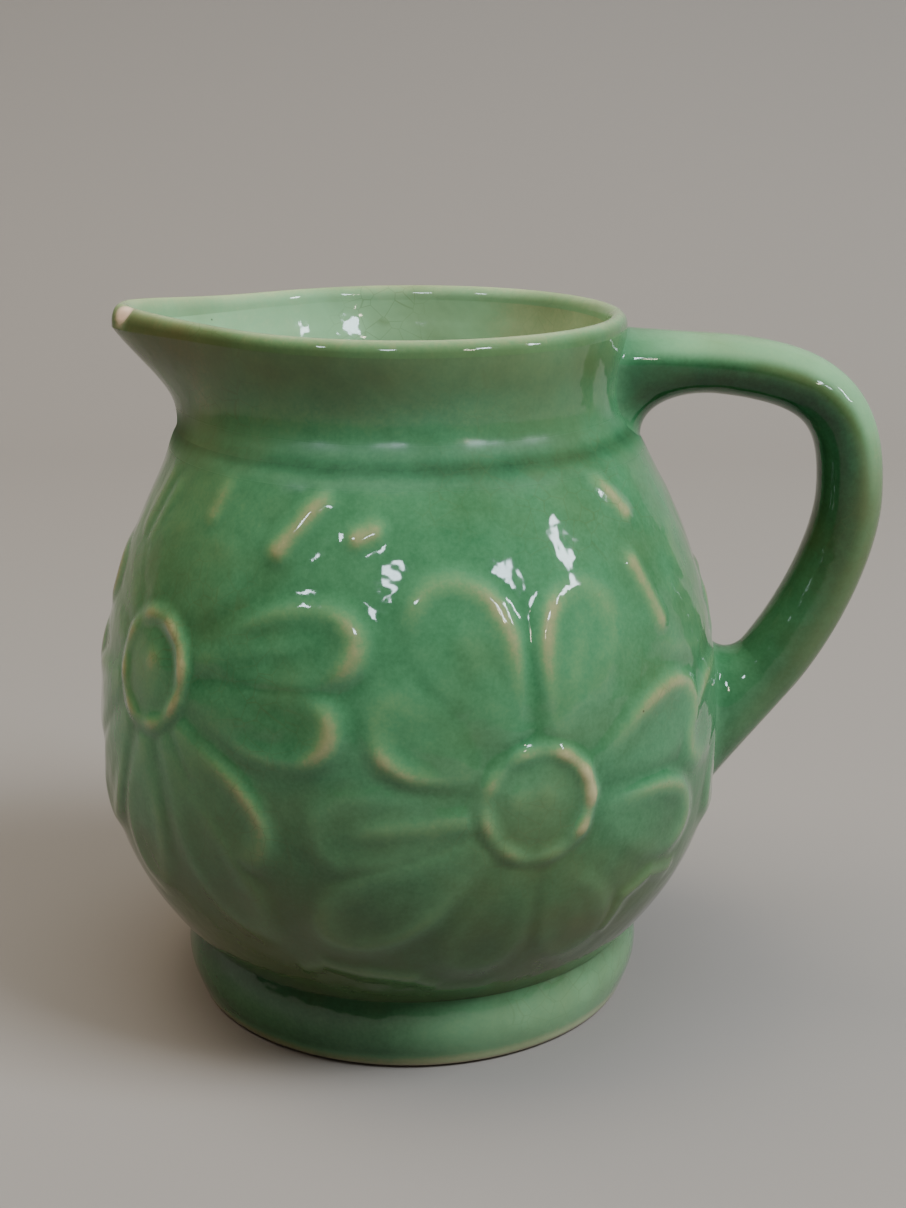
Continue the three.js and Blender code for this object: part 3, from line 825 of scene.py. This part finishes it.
floorRadius = innerRadius + foot["floorOverlap"]
floorSection = np.array([
    (0.05, foot["recess"]), (floorRadius * 0.5, foot["recess"]), (floorRadius, foot["recess"]),
    (floorRadius, foot["floorTop"]), (floorRadius * 0.8, foot["floorTop"] - 0.35),
    (floorRadius * 0.6, foot["floorTop"] - 0.5), (floorRadius * 0.3, foot["floorTop"] - 0.7),
    (0.05, foot["floorTop"] - foot["dish"]),
])
grid = rounded(footAngles[::4, None], floorSection[None, :, 0], floorSection[None, :, 1])
floorGlaze = {"pooled": foot["floorGlaze"], "pale": foot["floorPale"]}
floorDirections = gridDirections(grid, True, [(0, 3), (3, 8)])
makePiece("floor_disc", grid, True, floorDirections, floorGlaze, ["base_floor"])


# Handle and its two luted joints
def handleGlazing(outerSide, along):
    # light on the outer face, with painted light where it faces up along the top; burnt olive where that
    # turns; deep green on the sides and inside, partly deep glaze and partly painted shade
    face = smooth(outerSide, 0.0, 0.55)
    sides = handle["sideGlazeAndShade"] - handle["lowThinning"] * smooth(along, 0.6, 1)
    lower = smooth(along, 0.32, 0.66)
    turning = ridge(outerSide - 0.2, 0.2) * smooth(along, 0.02, 0.15) * (1 - 0.7 * lower)
    lowBrown = (handle["lowOlive"] * face + handle["sideOlive"] * (1 - face)) * lower
    return {
        "pooled": mix(sides, handle["faceGlaze"], face),
        "pale": handle["topPaintedLight"] * face * (1 - lower),
        "olive": handle["turnOlive"] * turning + lowBrown,
    }


startShare = handle["standOffTop"] / pathLength
endShare = 1 - handle["standOffBottom"] / pathLength
shares = np.linspace(startShare, endShare, handle["rows"])
sections = [handleSection(share, 1, -1, handle["around"]) for share in shares]
grid = np.array([points for points, _ in sections])
directions = -np.array([out for _, out in sections])
turn = np.linspace(0, 2 * pi, handle["around"], endpoint=False)
along = np.linspace(0, 1, handle["rows"])[:, None]
makePiece("handle", grid, False, directions, handleGlazing(np.cos(turn)[None, :], along), ["handle"])

# Each joint spreads up, down and sideways over the body from a slanted end of the handle. Its middle
# stands off the body and its edge sinks into it.
joints = {
    "top": {"share": startShare, "upSign": 1, "height": handle["topHeight"], "slant": 1,
            "up": 0.6, "down": 9.6, "side": 4.1, "sink": 0.5, "stand": 0.9},
    "bottom": {"share": endShare, "upSign": -1, "height": handle["bottomHeight"], "slant": 1.75,
               "up": 4.4, "down": 3.2, "side": 3.6, "sink": 0.5, "stand": 1.0},
    "rows": 30,
    "pull": 0.55,
    "seats": (0.97, 0.7, 0.4, 0.15),    # sizes of the rings that close it inside the wall
    "seatSink": 0.4,
    "glaze": 0.54,
    "poolAtEdge": 0.16,
}


def bodyRound(angle, z):
    onBelly = bellyRound(z) + bellyRelief(angle, z) + wobble(angle, z) * creaseFade(z)
    return np.where(z > bellyTop, collarRound(angle, z), onBelly)


def overBody(rootHeight, aside, up, height):
    z = rootHeight + up
    angle = aside / float(bodyRound(np.array(0.0), np.array(rootHeight)))
    return rounded(angle, bodyRound(angle, z) + height, z)


def makeJoint(name, joint, node):
    count = handle["around"]
    turn = np.linspace(0, 2 * pi, count, endpoint=False)
    start, startOut = handleSection(joint["share"], joint["upSign"], 1, count)
    thick = mix(handle["halfThickTop"], handle["halfThickBottom"], joint["share"])

    def outline(grow, size, height):
        spread = np.where(np.cos(turn) > 0, joint["up"], joint["down"])
        lengthways = thick * joint["slant"] + grow * spread
        sideways = handle["halfWidth"] + grow * joint["side"]
        across, up = size * sideways * np.sin(turn), size * lengthways * np.cos(turn)
        return overBody(joint["height"], across, up, height)

    corners = outline(0, 1, joint["stand"])
    edges = outline(1, 1, -joint["sink"])
    towards = pathTangent(joint["share"]) * (-1 if joint["upSign"] > 0 else 1)
    reach = np.linalg.norm(corners - start, axis=1)[:, None] * joints["pull"]
    leave = start + towards * reach
    leave = (leave + start + (corners - start) * joints["pull"]) / 2
    arrive = edges + (corners - edges) * joints["pull"]
    t = np.linspace(0, 1, joints["rows"])
    rings = np.array([bezier([start, leave, arrive, edges], np.full(count, step)) for step in t])
    seatHeight = -joint["sink"] - joints["seatSink"]
    seat = np.array([outline(1, size, seatHeight) for size in joints["seats"]])
    grid = np.concatenate([rings, seat])
    alongRun = np.gradient(rings, axis=0)
    alongRing = np.roll(rings, -1, axis=1) - np.roll(rings, 1, axis=1)
    out = np.cross(alongRing, alongRun)
    out = out / np.linalg.norm(out, axis=2, keepdims=True)
    if (out[0] * startOut).sum() < 0:
        out = -out
    out[0] = startOut
    directions = np.concatenate([out, np.repeat(out[-1:], len(seat), axis=0)])
    # the handle's own glaze, with its painted light and shade, running into pooled glaze and then the
    # body's
    along = np.full((1, 1), 0.0 if joint["upSign"] > 0 else 1.0)
    atHandle = handleGlazing(np.cos(turn)[None, :] * joint["upSign"], along)
    onBody = np.concatenate([t, np.ones(len(seat))])[:, None]
    edgePool = joints["poolAtEdge"] * np.sin(pi * onBody) ** 2 * smooth(onBody, 0.2, 0.8)
    glaze = {key: values * (1 - onBody) for key, values in atHandle.items()}
    glaze["pooled"] = glaze["pooled"] + joints["glaze"] * onBody + edgePool
    makePiece(name, grid, False, directions, glaze, [node])


makeJoint("handle_top", joints["top"], "handle_top_joint")
makeJoint("handle_bottom", joints["bottom"], "handle_bottom_joint")


# Floor, backdrop, lights and camera
studio = {
    "card": "827f79",
    "cardRoughness": 0.95,
    "sweepStart": 0.46,         # m behind the pitcher, where the card starts to rise
    "sweepRadius": 0.3,
    "room": "d9d5cc",
    "roomStrength": 0.12,
    "lens": 54.12,
    "cameraUp": 166.4,          # mm above the floor
    "cameraBack": 317.7,        # mm in front of the pitcher's axis
    "cameraAside": 7.74,
    "pitch": 16.63,             # degrees looking down
    "aim": 0.06,                # m above the floor, where the lights point
    # degrees round from the front towards the handle, degrees up, distance, width, height, watts, colour:
    # small bright panels only make the highlights, large soft ones only light the colour
    "panels": {
        "window_right": (40, 27, 1.3, 0.15, 0.13, 2.4, "e0f0ff"),
        "lamp": (33, 22, 1.3, 0.07, 0.06, 0.6, "fff0dc"),
        "window_front": (-8, 30, 1.3, 0.18, 0.09, 2.0, "e0f0ff"),
        "window_far_right": (70, 27, 1.3, 0.08, 0.2, 2.0, "e8f4ff"),
        "window_left": (-47, 34, 1.3, 0.14, 0.1, 1.8, "e0f0ff"),
    },
    "softLights": {
        "key": (64, 48, 1.5, 0.6, 0.6, 36, "f2f6ff"),
        "warm_side": (-100, 62, 1.6, 1.2, 1.0, 18, "ffe6c8"),
        "ceiling": (0, 84, 1.5, 1.2, 1.2, 18, "f4f6fa"),
    },
}


def makeSweep():
    # Matt card: uncoated pressed paper, which takes a soft shadow and shows no highlight. It lies flat
    # and then curves up behind.
    back = axisY / 1000 + studio["sweepStart"]
    r = studio["sweepRadius"]
    line = [(-1.5, 0.0), (back, 0.0)]
    line += [(back + r * sin(a), r * (1 - cos(a))) for a in np.linspace(0.1, pi / 2, 16)]
    line += [(back + r, 1.6)]
    points = [(x, y, z) for y, z in line for x in (-1.6, 1.6)]
    faces = [(2 * i, 2 * i + 1, 2 * i + 3, 2 * i + 2) for i in range(len(line) - 1)]
    mesh = bpy.data.meshes.new("sweep")
    mesh.from_pydata(points, [], faces)
    mesh.polygons.foreach_set("use_smooth", [True] * len(faces))
    sweep = bpy.data.objects.new("sweep", mesh)
    bpy.context.collection.objects.link(sweep)
    material = bpy.data.materials.new("matt_card")
    material.use_nodes = True
    surface = material.node_tree.nodes["Principled BSDF"]
    surface.inputs["Base Color"].default_value = linearColour(studio["card"])
    surface.inputs["Roughness"].default_value = studio["cardRoughness"]
    surface.inputs["Specular IOR Level"].default_value = 0.2
    mesh.materials.append(material)


def addLight(name, azimuth, elevation, distance, width, height, power, colour, seenBy):
    data = bpy.data.lights.new(name, "AREA")
    data.shape = "RECTANGLE"
    data.size, data.size_y = width, height
    data.energy = power
    data.color = linearColour(colour)[:3]
    light = bpy.data.objects.new(name, data)
    a, e = radians(azimuth), radians(elevation)
    towards = Vector((sin(a) * cos(e), -cos(a) * cos(e), sin(e)))
    target = Vector((axisX / 1000, axisY / 1000, studio["aim"]))
    light.location = target + towards * distance
    light.rotation_mode = "QUATERNION"
    light.rotation_quaternion = towards.to_track_quat("Z", "Y")
    light.visible_glossy = seenBy == "glossy"
    light.visible_diffuse = seenBy == "diffuse"
    bpy.context.collection.objects.link(light)


makeSweep()
for name, settings in studio["panels"].items():
    addLight(name, *settings, "glossy")
for name, settings in studio["softLights"].items():
    addLight(name, *settings, "diffuse")
world = bpy.data.worlds.new("room")
bpy.context.scene.world = world
world.use_nodes = True
background = world.node_tree.nodes["Background"]
background.inputs["Color"].default_value = linearColour(studio["room"])
background.inputs["Strength"].default_value = studio["roomStrength"]

cameraData = bpy.data.cameras.new("camera")
cameraData.lens = studio["lens"]
cameraData.sensor_width = 36
camera = bpy.data.objects.new("camera", cameraData)
camera.location = (
    (axisX + studio["cameraAside"]) / 1000,
    (axisY - studio["cameraBack"]) / 1000,
    studio["cameraUp"] / 1000,
)
camera.rotation_euler = (radians(90 - studio["pitch"]), 0, 0)
cameraData.clip_start = 0.01
bpy.context.collection.objects.link(camera)
bpy.context.scene.camera = camera
print("stage ready")
